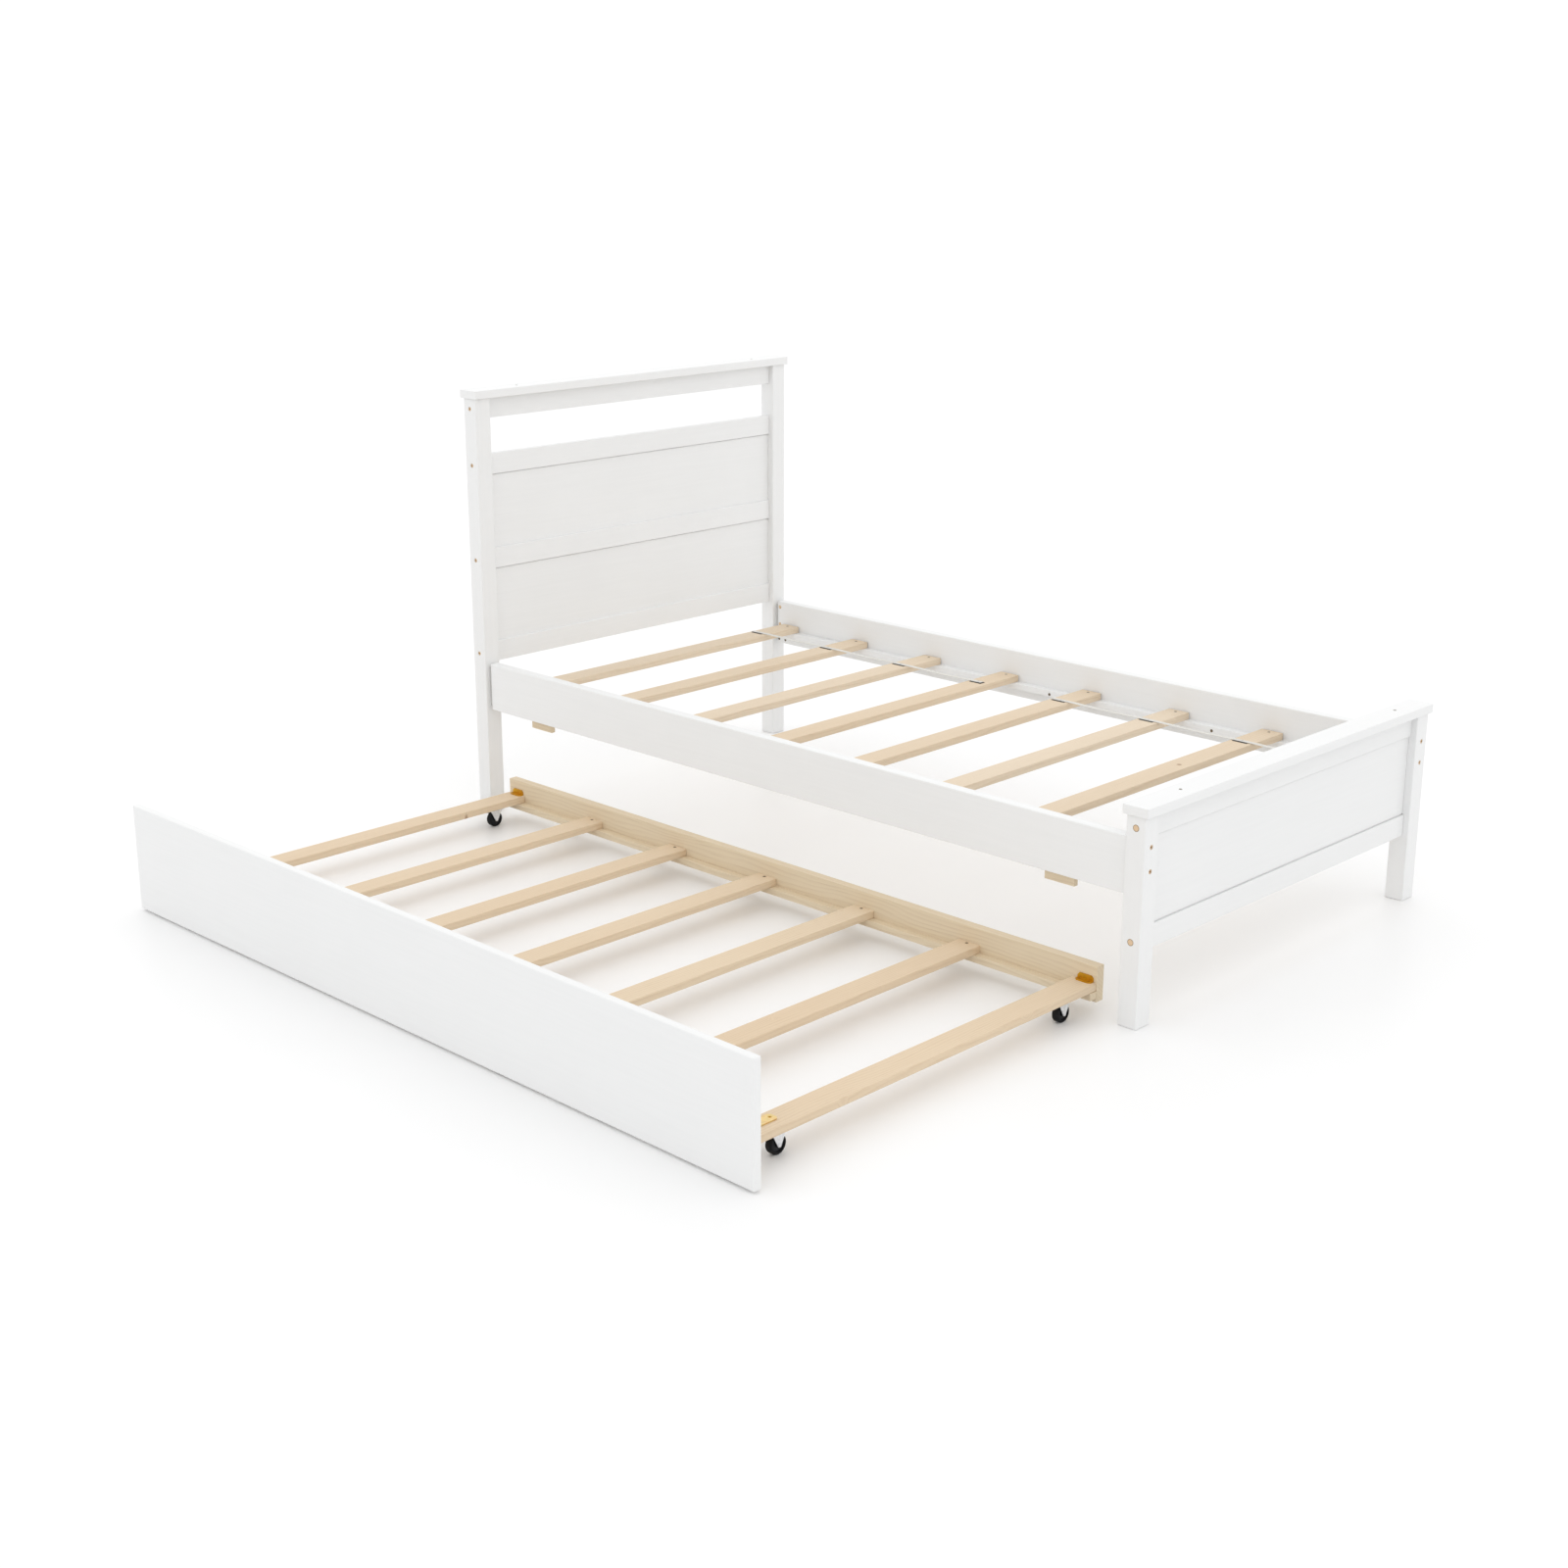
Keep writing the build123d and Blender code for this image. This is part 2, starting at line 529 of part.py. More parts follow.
def trundle_wood():
    """The front panel, the rear rail, the ledgers and the slats."""
    holes = trundle_holes()
    half = TRUNDLE_PANEL_LENGTH / 2
    panel = block((-half, half), (PANEL_FRONT, PANEL_BACK), TRUNDLE_PANEL_Z, TRUNDLE_PANEL_EASE)
    save("trundle_panel", cut(panel, near(holes, panel)))
    half = TRUNDLE_RAIL_LENGTH / 2
    rail = block((-half, half), (TRUNDLE_RAIL_FRONT, TRUNDLE_RAIL_BACK), TRUNDLE_RAIL_Z, RAIL_EASE)
    save("trundle_rear_rail", rail)

    low = TRUNDLE_SLAT_Z - TRUNDLE_LEDGER_THICK
    strips = []
    for y in (PANEL_BACK, TRUNDLE_RAIL_FRONT - TRUNDLE_LEDGER_DEPTH):
        strip = block((-half, half), (y, y + TRUNDLE_LEDGER_DEPTH), (low, TRUNDLE_SLAT_Z), RAIL_EASE)
        strips.append(cut(strip, near(holes, strip)))
    save("trundle_ledgers", strips)

    for number, x in enumerate(TRUNDLE_SLAT_X, 1):
        slat = block((x - SLAT_WIDTH / 2, x + SLAT_WIDTH / 2), (PANEL_BACK, TRUNDLE_RAIL_FRONT),
                     (TRUNDLE_SLAT_Z, TRUNDLE_SLAT_TOP), SLAT_EASE)
        save(f"trundle_slat_{number}", cut(slat, near(holes, slat)))


def angle(x, width, y, way, length, height):
    """A folded steel angle: one leg on the slat, one leg up a face, the fold rounded outside."""
    floor = TRUNDLE_SLAT_TOP
    t = BRACKET_THICK
    profile = Polyline((0, 0), (length, 0), (length, t), (t, t), (t, height), (0, height), close=True)
    plane = Plane(origin=(x - way * width / 2, y, floor), x_dir=(0, way, 0), z_dir=(way, 0, 0))
    body = extrude(plane * make_face(profile), width)
    corners = body.edges().filter_by(Axis.X).sort_by(lambda e: (e.center() - Vector(x, y, floor)).length)
    body = fillet(corners[:1], t * 0.9)
    flat_tips = body.edges().filter_by(Axis.Z).filter_by(lambda e: e.length < t * 1.1)
    upright_tips = body.edges().filter_by(Axis.Y).filter_by(lambda e: e.length < t * 1.1)
    return chamfer(flat_tips + upright_tips, min(BRACKET_CORNER, length * 0.35))


def brackets():
    """Two long angles behind the panel and two short ones at the rear rail."""
    holes = trundle_holes()
    fronts = [angle(x, FRONT_BRACKET_WIDTH, PANEL_BACK, 1, FRONT_BRACKET_LENGTH, FRONT_BRACKET_HEIGHT)
              for x in FRONT_BRACKET_X]
    save("front_brackets", [cut(piece, near(holes, piece)) for piece in fronts])
    rears = [angle(x, REAR_BRACKET_WIDTH, TRUNDLE_RAIL_FRONT, -1, REAR_BRACKET_LENGTH, REAR_BRACKET_HEIGHT)
             for x in CASTER_X]
    save("rear_brackets", [cut(piece, near(holes, piece)) for piece in rears])
    lengths = ((FRONT_SCREWS + REAR_SCREWS, TRUNDLE_SCREW_LENGTH), (FRONT_UPRIGHT_SCREWS, UPRIGHT_SCREW_LENGTH),
               (TRUNDLE_SLAT_SCREWS, TRUNDLE_SLAT_SCREW_LENGTH), (PLATE_SCREWS, PLATE_SCREW_LENGTH))
    save("trundle_screws", screws(lengths))


# ---- Casters ----

def caster_plate(x, y):
    """A pressed plate under the slat, with the ring the fork turns on and its rivet."""
    low = TRUNDLE_SLAT_Z - PLATE_THICK
    plate = block((x - PLATE_X / 2, x + PLATE_X / 2), (y - PLATE_Y / 2, y + PLATE_Y / 2), (low, TRUNDLE_SLAT_Z))
    plate = fillet(plate.edges().filter_by(Axis.Z), PLATE_CORNER)
    plate = cut(plate, near([screw_hole(start, way, PLATE_THICK) for start, way in PLATE_SCREWS], plate))
    plate += rod((x, y, low), DOWN, RACE_RADIUS, low - FORK_TOP_Z - SWIVEL_GAP)
    head_z = FORK_TOP_Z - FORK_THICK - SWIVEL_GAP
    plate += rod((x, y, low), DOWN, RIVET_RADIUS, low - head_z)
    return plate + rod((x, y, head_z), DOWN, RIVET_HEAD_RADIUS, RIVET_HEAD_THICK)


def caster_fork(x, y):
    """A round top and two V-shaped legs that taper down to the axle."""
    under = Plane(origin=(x, y, FORK_TOP_Z - FORK_THICK))
    fork = extrude(under * Circle(FORK_DISC_RADIUS), FORK_THICK)
    bridge = Pos(0, CASTER_TRAIL) * Rectangle(2 * (LEG_GAP + FORK_THICK), LEG_TOP_WIDTH)
    fork += extrude(under * bridge, FORK_THICK)
    for low_x in (x - LEG_GAP - FORK_THICK, x + LEG_GAP):
        plane = Plane(origin=(low_x, y + CASTER_TRAIL, 0), x_dir=(0, 1, 0), z_dir=(1, 0, 0))
        eye = Pos(0, WHEEL_RADIUS) * Circle(LEG_EYE_RADIUS)
        root = Pos(0, FORK_TOP_Z - FORK_THICK / 2) * Rectangle(LEG_TOP_WIDTH, FORK_THICK)
        fork += extrude(plane * make_hull(eye.edges() + root.edges()), FORK_THICK)
    fork -= rod((x, y, FORK_TOP_Z - 2 * FORK_THICK), UP, RIVET_RADIUS + RUNNING_CLEARANCE, 3 * FORK_THICK)
    bore = (x - 2 * LEG_GAP, y + CASTER_TRAIL, WHEEL_RADIUS)
    return fork - rod(bore, (1, 0, 0), AXLE_RADIUS + AXLE_FIT, 4 * LEG_GAP)


def caster_axle(x, y):
    """A riveted pin through both legs and the wheel."""
    reach = LEG_GAP + FORK_THICK
    start = (x - reach - AXLE_HEAD_THICK, y + CASTER_TRAIL, WHEEL_RADIUS)
    pin = rod(start, (1, 0, 0), AXLE_RADIUS, 2 * (reach + AXLE_HEAD_THICK))
    for side in (-1, 1):
        face = (x + side * reach, y + CASTER_TRAIL, WHEEL_RADIUS)
        pin += rod(face, (side, 0, 0), AXLE_HEAD_RADIUS, AXLE_HEAD_THICK)
    return pin


def caster_wheel(x, y):
    """A solid wheel with a rounded tread, a recess in each side and a bored hub."""
    centre = (x, y + CASTER_TRAIL, WHEEL_RADIUS)
    start = (x - WHEEL_WIDTH / 2, *centre[1:])
    wheel = rod(start, (1, 0, 0), WHEEL_RADIUS, WHEEL_WIDTH)
    wheel = fillet(wheel.edges().filter_by(GeomType.CIRCLE), TREAD_EASE)
    for side in (-1, 1):
        face = (x + side * WHEEL_WIDTH / 2, *centre[1:])
        inward = (-side, 0, 0)
        wheel -= rod(face, inward, RECESS_RADIUS, RECESS_DEPTH) - rod(face, inward, HUB_RADIUS, RECESS_DEPTH)
    return wheel - rod(start, (1, 0, 0), AXLE_RADIUS + RUNNING_CLEARANCE, WHEEL_WIDTH)


def casters():
    """Four swivel casters under the end slats."""
    plates = []
    for end, x in zip(("left", "right"), CASTER_X):
        for row, offset in zip(("front", "rear"), CASTER_Y):
            y = PANEL_BACK + offset
            plates.append(caster_plate(x, y))
            save(f"caster_fork_{row}_{end}", caster_fork(x, y))
            save(f"caster_axle_{row}_{end}", caster_axle(x, y))
            save(f"caster_wheel_{row}_{end}", caster_wheel(x, y))
    save("caster_plates", plates)


os.makedirs("parts", exist_ok=True)
board_end("headboard", -1, HEAD_RAILS, [("middle", "upper"), ("bottom", "middle")], HEAD_POST_TOP,
          ("top",))
board_end("footboard", 1, FOOT_RAILS, [("lower", "top")], FOOT_POST_TOP, ("top", "bottom"))
side_rails()
barrel_nuts()
hook_plates()
ledgers()
bed_slats()
slat_straps()
stop_blocks()
bed_fasteners()
trundle_wood()
brackets()
casters()
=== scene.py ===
import math

import bpy
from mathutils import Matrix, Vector


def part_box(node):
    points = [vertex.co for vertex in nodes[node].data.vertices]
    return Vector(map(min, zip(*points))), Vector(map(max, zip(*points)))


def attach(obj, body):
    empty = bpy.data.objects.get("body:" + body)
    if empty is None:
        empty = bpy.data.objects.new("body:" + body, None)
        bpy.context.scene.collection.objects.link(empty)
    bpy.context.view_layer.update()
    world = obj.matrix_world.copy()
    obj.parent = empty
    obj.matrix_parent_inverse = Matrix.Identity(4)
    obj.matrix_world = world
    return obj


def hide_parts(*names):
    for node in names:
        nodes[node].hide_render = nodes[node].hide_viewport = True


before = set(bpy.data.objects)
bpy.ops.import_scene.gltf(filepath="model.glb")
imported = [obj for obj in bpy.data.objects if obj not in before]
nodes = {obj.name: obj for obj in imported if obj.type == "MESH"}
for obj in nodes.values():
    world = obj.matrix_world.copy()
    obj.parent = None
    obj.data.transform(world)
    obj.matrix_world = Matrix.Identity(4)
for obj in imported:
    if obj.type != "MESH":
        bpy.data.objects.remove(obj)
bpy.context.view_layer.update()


# ---- White lacquered boards: posts, caps, end rails, panels, side rails, ledgers, trundle front ----
# Solid rubberwood and board, sanded and sprayed with satin white lacquer. The spray leaves a
# very fine orange peel, and a trace of the grain shows along each board.

LACQUER_SHADE = (0.818, 0.822, 0.821)
LACQUER_WHITE = (0.834, 0.838, 0.837)
LACQUER_RELIEF = 0.00005


class Signal:
    """A shader node's output that Python arithmetic works on."""

    def __init__(self, tree, socket=None):
        self.tree = tree
        self.socket = socket

    def node(self, kind, settings, inputs, output=0):
        """Add any shader node: settings first, then values or links for its inputs."""
        made = self.tree.nodes.new("ShaderNode" + kind)
        for name, value in settings.items():
            if name == "stops":
                ramp = made.color_ramp
                while len(ramp.elements) < len(value):
                    ramp.elements.new(1.0)
                for element, (place, colour) in zip(ramp.elements, value):
                    element.position = place
                    element.color = (*colour, 1.0)
            else:
                setattr(made, name, value)
        for name, value in inputs.items():
            if isinstance(value, Signal):
                self.tree.links.new(value.socket, made.inputs[name])
            else:
                made.inputs[name].default_value = value
        return Signal(self.tree, made.outputs[output])

    def math(self, operation, *values):
        return self.node("Math", {"operation": operation}, dict(enumerate(values)))

    def __add__(self, other):
        return self.math("ADD", self, other)

    def __sub__(self, other):
        return self.math("SUBTRACT", self, other)

    def __rsub__(self, other):
        return self.math("SUBTRACT", other, self)

    def __mul__(self, other):
        return self.math("MULTIPLY", self, other)

    def __pow__(self, other):
        return self.math("POWER", self, other)

    __radd__ = __add__
    __rmul__ = __mul__

    def between(self, low, high):
        """0 below low, 1 above high, smooth between."""
        return self.node("MapRange", {"interpolation_type": "SMOOTHSTEP"},
                         {"Value": self, "From Min": low, "From Max": high})

    def mixed(self, first, second):
        """The first colour where this is 0, the second where it is 1."""
        settings = {"data_type": "RGBA"}
        colours = [c if isinstance(c, Signal) else (*c, 1.0) for c in (first, second)]
        return self.node("Mix", settings, {0: self, 6: colours[0], 7: colours[1]}, 2)


def new_finish(name):
    """A material, and the row frame's coordinates in metres to start its nodes from."""
    material = bpy.data.materials.new(name)
    material.use_nodes = True
    place = Signal(material.node_tree).node("TexCoord", {}, {}, "Object")
    return material, place


def finish_with(material, colour, roughness, bump=None, depth=0.0, **fixed):
    """Feed the material's surface: colour, roughness and bump vary, the rest is fixed."""
    tree = material.node_tree
    shader = tree.nodes["Principled BSDF"]
    for name, value in fixed.items():
        shader.inputs[name.replace("_", " ")].default_value = value
    tree.links.new(colour.socket, shader.inputs["Base Color"])
    tree.links.new(roughness.socket, shader.inputs["Roughness"])
    if bump is not None:
        height = bump.node("Bump", {}, {"Height": bump, "Distance": depth, "Strength": 1.0})
        tree.links.new(height.socket, shader.inputs["Normal"])
    return material


def noise(place, scale, detail, roughness=0.5):
    """Soft noise over a place, around 0.5."""
    inputs = {"Vector": place, "Scale": scale, "Detail": detail, "Roughness": roughness}
    return place.node("TexNoise", {}, inputs)


def coordinate(place, axis):
    """One of the place's three coordinates."""
    return place.node("SeparateXYZ", {}, {"Vector": place}, axis)


def turned(place, along):
    """Coordinates as (along the grain, across it, through it) for a board running along an axis."""
    order = {"X": "XYZ", "Y": "YXZ", "Z": "ZXY"}[along]
    return [coordinate(place, axis) for axis in order]


def joined(length, width, thickness):
    """Three signals as one vector."""
    return length.node("CombineXYZ", {}, {0: length, 1: width, 2: thickness})


def dress(material, *names):
    """Give CAD nodes a material."""
    for name in names:
        mesh = nodes[name].data
        mesh.materials.clear()
        mesh.materials.append(material)


def lacquer(along):
    """Sprayed white over grain that runs along an axis."""
    material, place = new_finish("white_lacquer_" + along)
    length, width, thickness = turned(place, along)
    grain = noise(joined(length * 6.0, width * 160.0, thickness * 160.0), 1.0, 3.0, 0.55)
    peel = noise(place, 700.0, 1.0)
    cloud = noise(place, 5.0, 2.0)
    colour = (grain * 0.6 + cloud * 0.4).between(0.3, 0.7).mixed(LACQUER_SHADE, LACQUER_WHITE)
    roughness = 0.36 + cloud * 0.08 + grain * 0.04
    return finish_with(material, colour, roughness, grain * 0.5 + peel * 0.5, LACQUER_RELIEF,
                       Coat_Weight=0.15, Coat_Roughness=0.25)


lacquer_x = lacquer("X")
lacquer_y = lacquer("Y")
lacquer_z = lacquer("Z")
for name in nodes:
    if name.startswith(("headboard", "footboard")):
        dress(lacquer_z if "post" in name else lacquer_y, name)
dress(lacquer_x, "side_rail_front", "side_rail_back", "bed_ledger_front", "bed_ledger_back", "trundle_panel")


# ---- Pine: bed slats, trundle slats, rear rail, trundle ledgers, stop blocks ----
# Planed softwood, left bare. Growth rings show as soft streaks along each stick, finer
# fibres run between them, and a few small tight knots break the grain.

BED_SLAT_PITCH = 0.2593
TRUNDLE_SLAT_PITCH = 0.2932
KNOT_BROWN = (0.30, 0.15, 0.065)
PINE_RELIEF = 0.00025


def bed_slat_number(x):
    """Which slat a place on the bed's base is in: four each side of the middle."""
    slats = x * (1.0 / BED_SLAT_PITCH)
    return slats.math("FLOOR", slats)


def trundle_slat_number(x):
    """Which slat a place on the trundle is in: the fourth of its seven is at the middle."""
    slats = x * (1.0 / TRUNDLE_SLAT_PITCH) + 0.5
    return slats.math("FLOOR", slats)


def pine(name, along, tones, spacing, seed, stick_number=None):
    """Bare pine: tones are (pale, warm, late wood), spacing the rings in a metre across the grain.

    stick_number turns the place across the grain into a number, and each stick gets its own grain.
    """
    pale, warm, late = tones
    material, place = new_finish(name)
    length, width, thickness = turned(place, along)
    stick = stick_number(width) if stick_number else width * 0.0
    luck = stick.node("TexWhiteNoise", {"noise_dimensions": "1D"}, {"W": stick + seed})
    shift = luck * 7.0
    sway = noise(joined(length * 2.2 + shift, width * 9.0 + shift, thickness * 9.0), 1.0, 2.0, 0.4)
    cell = joined(length * 6.5 + shift, width * 6.5 + shift, thickness * 2.0)
    eye = cell.node("TexVoronoi", {"voronoi_dimensions": "3D"},
                    {"Vector": cell, "Scale": 1.0, "Randomness": 1.0})
    near_knot = 1.0 - eye.between(0.035, 0.16)
    rings = width * spacing + thickness * (spacing * 0.6) + sway * 9.0 + near_knot * 2.5 + shift
    late_wood = rings.math("FRACT", rings).between(0.35, 0.95)
    fibre = noise(joined(length * 14.0 + shift, width * 900.0, thickness * 900.0), 1.0, 3.0, 0.6)
    base = (luck * 0.55 + sway * 0.45).mixed(pale, warm)
    streaked = (late_wood * 0.42 * fibre.between(0.2, 0.8) + fibre.between(0.5, 0.9) * 0.16).mixed(base, late)
    knot = 1.0 - eye.between(0.028, 0.05)
    colour = (knot * 0.75).mixed(streaked, KNOT_BROWN)
    roughness = 0.58 + fibre * 0.14 - late_wood * 0.08
    return finish_with(material, colour, roughness, fibre * 0.7 + late_wood * 0.3, PINE_RELIEF)


bed_tones = ((0.76, 0.645, 0.50), (0.70, 0.555, 0.39), (0.53, 0.37, 0.22))
trundle_tones = ((0.76, 0.63, 0.46), (0.70, 0.54, 0.37), (0.52, 0.36, 0.21))
rail_tones = ((0.76, 0.66, 0.49), (0.69, 0.56, 0.39), (0.51, 0.37, 0.23))
bed_pine = pine("bed_pine", "Y", bed_tones, 170.0, 3.0, bed_slat_number)
dress(bed_pine, *[name for name in nodes if name.startswith("bed_slat")])
trundle_pine = pine("trundle_pine", "Y", trundle_tones, 150.0, 11.0, trundle_slat_number)
dress(trundle_pine, *[name for name in nodes if name.startswith("trundle_slat")])
rail_pine = pine("trundle_rail_pine", "X", rail_tones, 120.0, 5.0)
dress(rail_pine, "trundle_rear_rail", "trundle_ledgers", "stop_blocks")


# ---- Wood plugs over the footboard's bolts ----
# Small round pine plugs glued flush into both footboard posts, two to a post. Each has a
# thin dark ring at its rim, partly glue and partly painted shade.

PLUG_RADIUS = 0.007
RIM_STARTS = 0.0053      # from a plug's middle
RIM_FULL = 0.0062
RIM_BROWN = (0.16, 0.09, 0.04)
RIM_STRENGTH = 0.8


def darken_rims(material, middle_x, heights):
    """Darken the rims of plugs that run along Y, two at each post, at the given heights: glue and painted
    shade.
    """
    tree = material.node_tree
    base = tree.nodes["Principled BSDF"].inputs["Base Color"]
    colour = Signal(tree, base.links[0].from_socket)
    place = Signal(tree).node("TexCoord", {}, {}, "Object")
    x = coordinate(place, "X") - middle_x
    lower, upper = [coordinate(place, "Z") - height for height in heights]
    nearest = x.math("MINIMUM", lower * lower, upper * upper)
    rim = ((x * x + nearest) ** 0.5).between(RIM_STARTS, RIM_FULL)
    tree.links.new((rim * RIM_STRENGTH).mixed(colour, RIM_BROWN).socket, base)


plug_tones = ((0.78, 0.60, 0.40), (0.72, 0.52, 0.33), (0.45, 0.28, 0.14))
plug_pine = pine("plug_pine", "Y", plug_tones, 220.0, 8.0)
dress(plug_pine, "wood_plugs")
plug_low, plug_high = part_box("wood_plugs")
darken_rims(plug_pine, (plug_low.x + plug_high.x) / 2, (plug_low.z + PLUG_RADIUS, plug_high.z - PLUG_RADIUS))


# ---- Bolts, barrel nuts and screws ----
# Socket-head bolts and cross dowels in bronze-toned zinc, and small dull wood screws. The
# plating is a little mottled. The screws in the trundle's
# brackets are yellow like them; they stand higher than the ones in the slats.

BRACKET_SCREW_Z = 0.0655
BRACKET_SCREW_GOLD = (0.60, 0.36, 0.06)
SCREW_BRIGHT = (0.24, 0.19, 0.12)
SCREW_DULL = (0.12, 0.09, 0.06)
PLATING_RELIEF = 0.00004


def plated(name, bright, dull, roughness, scale, above=None, tint=None):
    """Mottled plating; tint takes over above a height."""
    material, place = new_finish(name)
    mottle = noise(place, scale, 3.0)
    scuff = noise(place, scale * 9.0, 2.0)
    colour = mottle.between(0.35, 0.65).mixed(dull, bright)
    if above is not None:
        colour = coordinate(place, "Z").between(above, above + 0.0003).mixed(colour, tint)
    roughness = roughness + mottle * 0.15 + scuff * 0.1
    return finish_with(material, colour, roughness, scuff, PLATING_RELIEF, Metallic=1.0)


dress(plated("bronze_bolt", (0.80, 0.61, 0.40), (0.54, 0.38, 0.24), 0.26, 260.0), "frame_bolts", "barrel_nuts")
dress(plated("screw_zinc", SCREW_BRIGHT, SCREW_DULL, 0.32, 400.0), "bed_screws")
dress(plated("trundle_screw_zinc", SCREW_BRIGHT, SCREW_DULL, 0.32, 400.0, BRACKET_SCREW_Z, BRACKET_SCREW_GOLD),
      "trundle_screws")


# ---- Steel plates between the side rails and the headboard posts ----
# Pressed steel hook plates with a thin pale grey coat, seen only as a fine line in the joint.

def coated(name):
    """Finely speckled grey paint."""
    material, place = new_finish(name)
    speckle = noise(place, 900.0, 2.0)
    colour = speckle.mixed((0.52, 0.52, 0.51), (0.60, 0.60, 0.59))
    return finish_with(material, colour, 0.45 + speckle * 0.2, speckle, 0.00005)


dress(coated("pale_grey_coat"), "rail_bracket_plates")


# ---- Trundle angle brackets ----
# Folded steel angles, yellow passivated: gold with faint patches of green and rose. The long
# ones behind the front panel are paler than the short ones at the rear rail.

PALE_GOLDS = ((0.72, 0.56, 0.24), (0.84, 0.64, 0.30), (0.80, 0.56, 0.26), (0.70, 0.60, 0.30))
DEEP_GOLDS = ((0.56, 0.34, 0.03), (0.66, 0.38, 0.035), (0.62, 0.33, 0.03), (0.52, 0.36, 0.05))
GOLD_STOPS = (0.30, 0.48, 0.60, 0.75)
BRUSHED_RELIEF = 0.00003


def yellow_zinc(name, golds):
    """Passivation in patches of four golds."""
    material, place = new_finish(name)
    bloom = noise(place, 60.0, 2.0)
    brushed = noise(place, 1200.0, 2.0)
    colour = bloom.node("ValToRGB", {"stops": list(zip(GOLD_STOPS, golds))}, {"Fac": bloom})
    return finish_with(material, colour, 0.30 + brushed * 0.16, brushed, BRUSHED_RELIEF, Metallic=1.0)


dress(yellow_zinc("pale_gold_zinc", PALE_GOLDS), "front_brackets")
dress(yellow_zinc("deep_gold_zinc", DEEP_GOLDS), "rear_brackets")


# ---- Casters ----
# Bright zinc forks and axles under dull zinc plates; the wheels are hard black rubber
# with a moulded plastic hub. One wheel material per caster, because it is centred on its axle.

RUBBER_BLACK = (0.005, 0.005, 0.006)
RUBBER_DUSTY = (0.012, 0.012, 0.012)
HUB_BLACK = (0.016, 0.016, 0.018)
HUB_SHARE = (0.72, 0.76)  # of the wheel's radius, where hub turns to rubber

dress(plated("bright_zinc", (0.84, 0.85, 0.87), (0.72, 0.73, 0.75), 0.24, 180.0),
      *[name for name in nodes if name.startswith(("caster_fork", "caster_axle"))])
dress(plated("dull_zinc", (0.50, 0.47, 0.43), (0.33, 0.31, 0.28), 0.35, 120.0), "caster_plates")


def wheel_finish(name):
    """Black rubber outside, slightly greyer plastic inside the tread."""
    low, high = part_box(name)
    middle = (low + high) / 2
    tread = (high.z - low.z) / 2
    material, place = new_finish(name + "_rubber")
    y = coordinate(place, "Y") - middle.y
    z = coordinate(place, "Z") - middle.z
    radius = (y * y + z * z) ** 0.5
    hub = 1.0 - radius.between(tread * HUB_SHARE[0], tread * HUB_SHARE[1])
    dust = noise(place, 350.0, 3.0)
    rubber = dust.between(0.45, 0.8).mixed(RUBBER_BLACK, RUBBER_DUSTY)
    colour = hub.mixed(rubber, HUB_BLACK)
    return finish_with(material, colour, 0.55 - hub * 0.2 + dust * 0.1, dust, 0.00004, Specular_IOR_Level=0.2)


for name in nodes:
    if name.startswith("caster_wheel"):
        dress(wheel_finish(name), name)


# ---- Slat straps, their painted shadow sheets and staples ----
# Flat cotton webbing, plain woven and off-white, stapled to each slat. Under the strap on each
# slat lies a thin charcoal sheet. It shows past the strap's inner edge, and past its end on the
# last slat, and is painted shadow of the strap. Each side has two lengths, one for each half of
# the bed, and between two slats a length dips by about a millimetre.

SLATS = [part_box(f"bed_slat_{number}") for number in range(1, 9)]
SLAT_TOP = SLATS[0][1].z
SLATS_PER_STRAP = 4
STRAP_SIDES = (("front", 1, 0.119, 0.131), ("back", -1, 0.859, 0.871))
STRAP_BASE = SLAT_TOP + 0.001
STRAP_THICK = 0.0009
STRAP_START = 0.004      # from its first slat's left edge
STRAP_ON_LAST = 0.039    # how far a strap runs onto its last slat
STRAP_DIP = 0.0011
STRAP_SWAY = 0.0004
SPAN_STEPS = 12
FLAT_BEFORE_EDGE = 0.004  # a strap starts its dip this far before a slat's edge
FLAT_AFTER_EDGE = 0.0002
# Charcoal sheets of painted shadow, one under each strap on every slat:
SHADOW_PAD_START = 0.008        # from the slat's left edge
SHADOW_PAD_LENGTH = 0.038
SHADOW_PAD_THICK = 0.0009
SHADOW_PAD_LIFT = 0.00005
SHADOW_PAD_MARGIN = 0.005       # past the strap's inner edge and past its end
SHADOW_PAD_FRAY = 0.0003
SHADOW_PAD_STEPS = 8
STAPLE_X = 0.028         # from the slat's left edge
STAPLE_HALF = 0.004
STAPLE_CORNER = 0.0028
STAPLE_WIRE = 0.0004
STAPLE_TOP = SLAT_TOP + 0.0023
STAPLE_TIP = SLAT_TOP - 0.006


def webbing():
    """Off-white plain weave: ribs along the strap crossed by finer ones."""
    material, place = new_finish("woven_webbing")
    warp = coordinate(place, "Y") * 5200.0
    weft = coordinate(place, "X") * 3600.0
    weave = warp.math("SINE", warp) * weft.math("SINE", weft)
    fuzz = noise(place, 1500.0, 2.0)
    soil = noise(place, 14.0, 2.0)
    thread = weave * 0.35 + fuzz * 0.3 + 0.35
    colour = (soil * 0.3).mixed(thread.mixed((0.62, 0.61, 0.57), (0.84, 0.83, 0.80)), (0.70, 0.67, 0.60))
    return finish_with(material, colour, fuzz * 0.1 + 0.85, thread, 0.0003)


def strap_shadow_finish():
    """Charcoal with loose fibres, for the sheets of painted shadow that the straps cast on the slats."""
    material, place = new_finish("strap_shadow_charcoal")
    fibre = noise(place, 1800.0, 4.0, 0.7)
    colour = fibre.between(0.35, 0.7).mixed((0.020, 0.020, 0.022), (0.060, 0.058, 0.056))
    return finish_with(material, colour, fibre * 0.05 + 0.9, fibre, 0.0005)


def placed(name, data, material):
    """A new piece that moves with the bed."""
    data.materials.append(material)
    made = bpy.data.objects.new(name, data)
    bpy.context.scene.collection.objects.link(made)
    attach(made, "bed")
    return made


